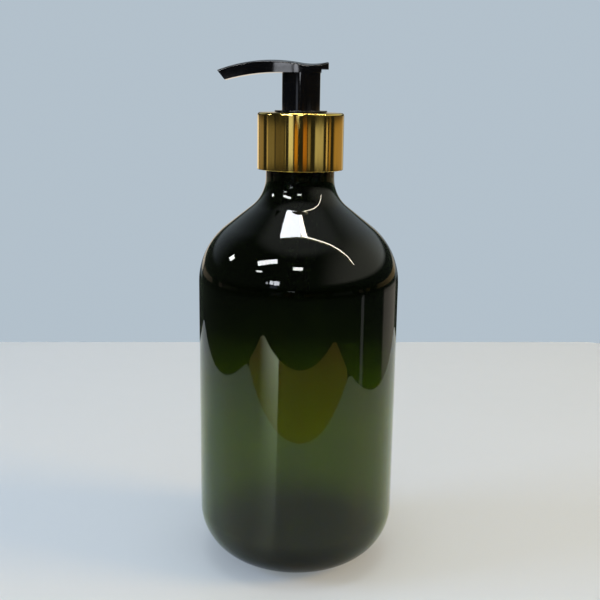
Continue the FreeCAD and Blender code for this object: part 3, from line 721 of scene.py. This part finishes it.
# Windows: name, direction in degrees right of the camera's side and up, width and height in metres, turn in
# degrees, brightness, warmth, whether they show in reflections or else light the stage, whether they cast
# shadows
WINDOWS = (
    ("front_window", (-46, 42.5), (0.56, 0.18), 30, 27.0, -0.2, True, True),
    ("left_window", (-98, 27.5), (0.15, 0.16), -20, 22.0, -0.2, True, True),
    ("low_window", (-50, 27), (0.18, 0.06), 10, 24.0, -0.2, True, True),
    ("middle_window", (-1, 38), (0.27, 0.13), 0, 27.0, 0.0, True, True),
    ("top_fill", (0, 89), (0.7, 0.7), 0, 7.0, -0.3, False, False),
    ("left_fill", (-80, 24), (0.6, 0.5), 0, 4.8, -3.4, False, True),
    ("right_fill", (78, 24), (0.5, 0.5), 0, 8.4, 4.6, False, True),
)

# Belts round the room that the collar and the body mirror: lowest and highest elevation and their softness,
# in degrees
COLLAR_BELT = (-5.2, -0.8, 0.5)
BODY_BELT = (-20, -8, 1.0)

# Bright and dim things round the room, as reflections show them: direction and half width in degrees, belt,
# brightness, warmth. The edge is the part of the half width over which they fade on each side of it.
CARD_EDGE = 0.15
CARDS = (
    (-163, 16, COLLAR_BELT, 0.62, 2.0),
    (-129, 14, COLLAR_BELT, 0.2, 2.0),
    (-98, 3, COLLAR_BELT, 0.34, 1.5),
    (-83, 11, COLLAR_BELT, 0.14, 1.0),
    (-56, 13, COLLAR_BELT, 0.08, 1.5),
    (-40, 1.2, COLLAR_BELT, 0.2, 0.5),
    (-25, 6, (-5.2, 0.9, 0.5), 0.75, -1.0),
    (-36.2, 1.1, (12, 15, 0.5), 9.0, -0.5),
    (-31, 2.2, (12, 17.5, 0.5), 18.0, -0.5),
    (-24.9, 3.1, (11.5, 17.5, 0.5), 18.0, -0.5),
    (-28, 4, (6, 10.5, 1.0), 0.6, -2.0),
    (-11, 4, COLLAR_BELT, 0.3, 7.0),
    (12, 5, COLLAR_BELT, 0.24, 8.0),
    (23, 3.5, COLLAR_BELT, 0.2, 2.0),
    (51, 12, COLLAR_BELT, 0.4, 0.0),
    (74, 2.5, COLLAR_BELT, 0.5, 2.0),
    (84, 3, COLLAR_BELT, 0.25, 4.0),
    (130, 30, COLLAR_BELT, 0.27, 3.5),
    (131, 17, BODY_BELT, 0.34, 1.0),
    (77.5, 2, BODY_BELT, 0.45, 0.0),
    (-7.4, 2.6, (1.0, 1.62, 0.05), 5.0, -0.5),
    (-7.4, 2.6, (1.86, 4, 0.05), 7.0, -0.5),
    (-3.7, 0.6, (1.3, 4, 0.2), 6.0, -0.5),
)

# Wide soft lights, as reflections show them: the axis that they lie along and the parts of it between which
# they grow, the elevations of their edges with a softness, in degrees and below 0 for an upper edge, colour
# where it isn't the wall's, brightness
GLOWS = (
    (("Y", 0.78, 0.9), ((-8.0, 1.0), (-0.5, -0.5)), None, 0.45),
    (("Y", 0.93, 0.97), ((-0.5, 0.5), (5.0, -1.0)), (0.55, 0.5, 0.4), 0.9),
    (("Y", 0.2, 0.9), ((12.0, 3.0),), None, 0.6),
    (("X", 0.3, 0.9), ((12.0, 3.0),), (0.5, 0.5, 0.42), 1.1),
    (None, ((62.0, 8.0),), (0.95, 1.0, 0.95), 0.3),
)


def direction(azimuth, elevation):
    """Unit vector to the right of the camera's side by an azimuth, and up, in degrees."""
    a, e = math.radians(azimuth), math.radians(elevation)
    return Vector((math.sin(a) * math.cos(e), -math.cos(a) * math.cos(e), math.sin(e)))


def lamp_colour(warmth):
    """Bluish below 0, warm above."""
    red = 1.0 + WARM_RED * warmth
    green = 1.0 - WARM_GREEN * max(warmth, 0.0)
    blue = max(LEAST_BLUE, 1.0 - WARM_BLUE * warmth)
    return (red, green, blue)


class OILBOTTLE_OT_stage(Operator):
    """Set the table, the room, the lamps and the camera"""

    bl_idname = "oil_bottle.stage"
    bl_label = "Stage"

    def execute(self, context):
        scene = context.scene
        stage = scene.oil_bottle.stage
        self.table(stage)
        self.room(scene, stage)
        self.ceiling(scene, stage)
        self.windows(scene, stage)
        self.camera(scene, stage)
        scene.view_settings.view_transform = "Standard"
        return {"FINISHED"}

    def table(self, stage):
        """A pale table top with round corners, and a warm board in front of it that the camera can't see."""
        wide = (-stage.table_left, stage.table_right)
        table_deep = (-stage.table_front, stage.table_back)
        self.slab(stage, "table_top", wide, table_deep, table_paint(stage))
        board_deep = (-stage.board_front, -stage.table_front)
        board = self.slab(stage, "front_board", wide, board_deep, board_wood(stage))
        board.visible_camera = False

    def slab(self, stage, name, wide, deep, material):
        """A flat slab with its top at the level that the bottle stands on."""
        bm = bmesh.new()
        bmesh.ops.create_cube(bm, size=1.0)
        bmesh.ops.scale(bm, vec=(wide[1] - wide[0], deep[1] - deep[0], stage.table_thick), verts=bm.verts)
        bmesh.ops.translate(bm, vec=(sum(wide) / 2, sum(deep) / 2, -stage.table_thick / 2), verts=bm.verts)
        bmesh.ops.rotate(bm, matrix=Matrix.Rotation(stage.table_turn, 3, "Z"), verts=bm.verts)
        upright = [edge for edge in bm.edges if abs(edge.verts[0].co.z - edge.verts[1].co.z) > MM]
        bmesh.ops.bevel(
            bm, geom=upright, offset=stage.table_corner, segments=TABLE_CORNER_SEGMENTS,
            profile=0.5, affect="EDGES", material=-1,
        )
        slab = add_mesh(bm, name, material)
        return slab

    def room(self, scene, stage):
        """A pale wall for the eye, and for reflections a dim room with a pale wall and bright streaks."""
        room = Room("room")
        scene.world = room.world
        back = room.times(room.way["Y"], -1.0)
        azimuth = room.bearing(room.way)
        mirrored = room.light(stage.dim, stage.dim_light)
        for centre, half, (low, high, soft), brightness, warmth in CARDS:
            aside = room.reckon("ABSOLUTE", room.reckon("SUBTRACT", azimuth, math.radians(centre)))
            outer = math.radians(half * (1 + CARD_EDGE))
            inner = math.radians(half * (1 - CARD_EDGE))
            upright = room.times(room.climb(low, soft), room.climb(high, -soft))
            strength = room.times(room.ramp(aside, outer, inner), upright, brightness)
            mirrored = room.add(mirrored, room.light(lamp_colour(warmth), strength))
        for along, edges, tint, brightness in GLOWS:
            strength = room.times(*(room.climb(*edge) for edge in edges))
            if along:
                axis, start, end = along
                strength = room.times(room.ramp(room.way[axis], start, end), strength)
            mirrored = room.add(mirrored, room.light(tint or stage.wall, room.times(strength, brightness)))
        path = room.node("ShaderNodeLightPath").outputs
        seen = room.reckon("MAXIMUM", path["Is Camera Ray"], path["Is Transmission Ray"])
        front = room.reckon("ADD", room.times(back, stage.ambient_front), 1.0)
        shader = room.choose(path["Is Glossy Ray"], room.light(stage.ambient, front), mirrored)
        shader = room.choose(seen, shader, room.light(stage.wall, 1.0))
        room.node("ShaderNodeOutputWorld", ("Surface", shader))

    def ceiling(self, scene, stage):
        """The lamps over the stage."""
        for name, place, size, angle, brightness, warmth in CEILING:
            lamp = self.lamp(scene, name, size, brightness, warmth)
            lamp.location = (*place, stage.ceiling)
            lamp.rotation_euler.z = math.radians(angle)
            lamp.visible_diffuse = False

    def windows(self, scene, stage):
        """The windows and the soft fills round the stage."""
        for name, way, size, angle, brightness, warmth, mirrored, shadowed in WINDOWS:
            lamp = self.lamp(scene, name, size, brightness, warmth)
            away = direction(*way)
            lamp.location = LAMP_TARGET + away * stage.window_distance
            lean = Quaternion((0, 0, 1), math.radians(angle))
            lamp.rotation_euler = ((-away).to_track_quat("-Z", "Y") @ lean).to_euler()
            lamp.visible_glossy = mirrored
            lamp.visible_transmission = mirrored
            lamp.visible_diffuse = not mirrored
            lamp.data.use_shadow = shadowed

    def lamp(self, scene, name, size, brightness, warmth):
        """A soft rectangular lamp that faces down."""
        data = bpy.data.lights.new(name, "AREA")
        data.shape = "RECTANGLE"
        width, height = size
        data.size = width
        data.size_y = height
        data.energy = brightness * math.pi * width * height
        data.color = lamp_colour(warmth)
        lamp = bpy.data.objects.new(name, data)
        lamp.visible_camera = False
        scene.collection.objects.link(lamp)
        return lamp

    def camera(self, scene, stage):
        """A camera in front of the bottle that looks a little down and leans a little."""
        data = bpy.data.cameras.new("camera")
        data.lens = stage.lens
        data.clip_start = MM
        camera = bpy.data.objects.new("camera", data)
        tilt = Matrix.Rotation(QUARTER - stage.camera_down, 4, "X")
        roll = Matrix.Rotation(stage.camera_roll, 4, "Z")
        place = Matrix.Translation((stage.camera_right, -stage.camera_back, stage.camera_height))
        camera.matrix_world = place @ tilt @ roll
        scene.collection.objects.link(camera)
        scene.camera = camera


# Panel and registration


class OILBOTTLE_PT_panel(Panel):
    """The steps and the settings of the bottle"""

    bl_label = "Oil Bottle"
    bl_idname = "OILBOTTLE_PT_panel"
    bl_space_type = "VIEW_3D"
    bl_region_type = "UI"
    bl_category = "Oil Bottle"

    def draw(self, context):
        settings = context.scene.oil_bottle
        for operator, group in STEPS:
            self.layout.operator(operator.bl_idname)
            column = self.layout.column(align=True)
            for name in getattr(settings, group).__annotations__:
                column.prop(getattr(settings, group), name)


STEPS = (
    (OILBOTTLE_OT_stage, "stage"),
    (OILBOTTLE_OT_bottle, "bottle"),
    (OILBOTTLE_OT_collar, "collar"),
    (OILBOTTLE_OT_pump, "pump"),
)
GROUPS = (BottleSettings, CollarSettings, PumpSettings, StageSettings, OilBottleSettings)
CLASSES = (*GROUPS, *(operator for operator, group in STEPS), OILBOTTLE_PT_panel)


def register():
    """Add the classes and the settings."""
    for item in CLASSES:
        bpy.utils.register_class(item)
    bpy.types.Scene.oil_bottle = PointerProperty(type=OilBottleSettings)


def unregister():
    """Take the settings and the classes away again."""
    del bpy.types.Scene.oil_bottle
    for item in reversed(CLASSES):
        bpy.utils.unregister_class(item)


def main():
    """Build everything in order."""
    register()
    bpy.ops.oil_bottle.stage()
    bpy.ops.oil_bottle.bottle()
    bpy.ops.oil_bottle.collar()
    bpy.ops.oil_bottle.pump()


if __name__ == "__main__":
    main()
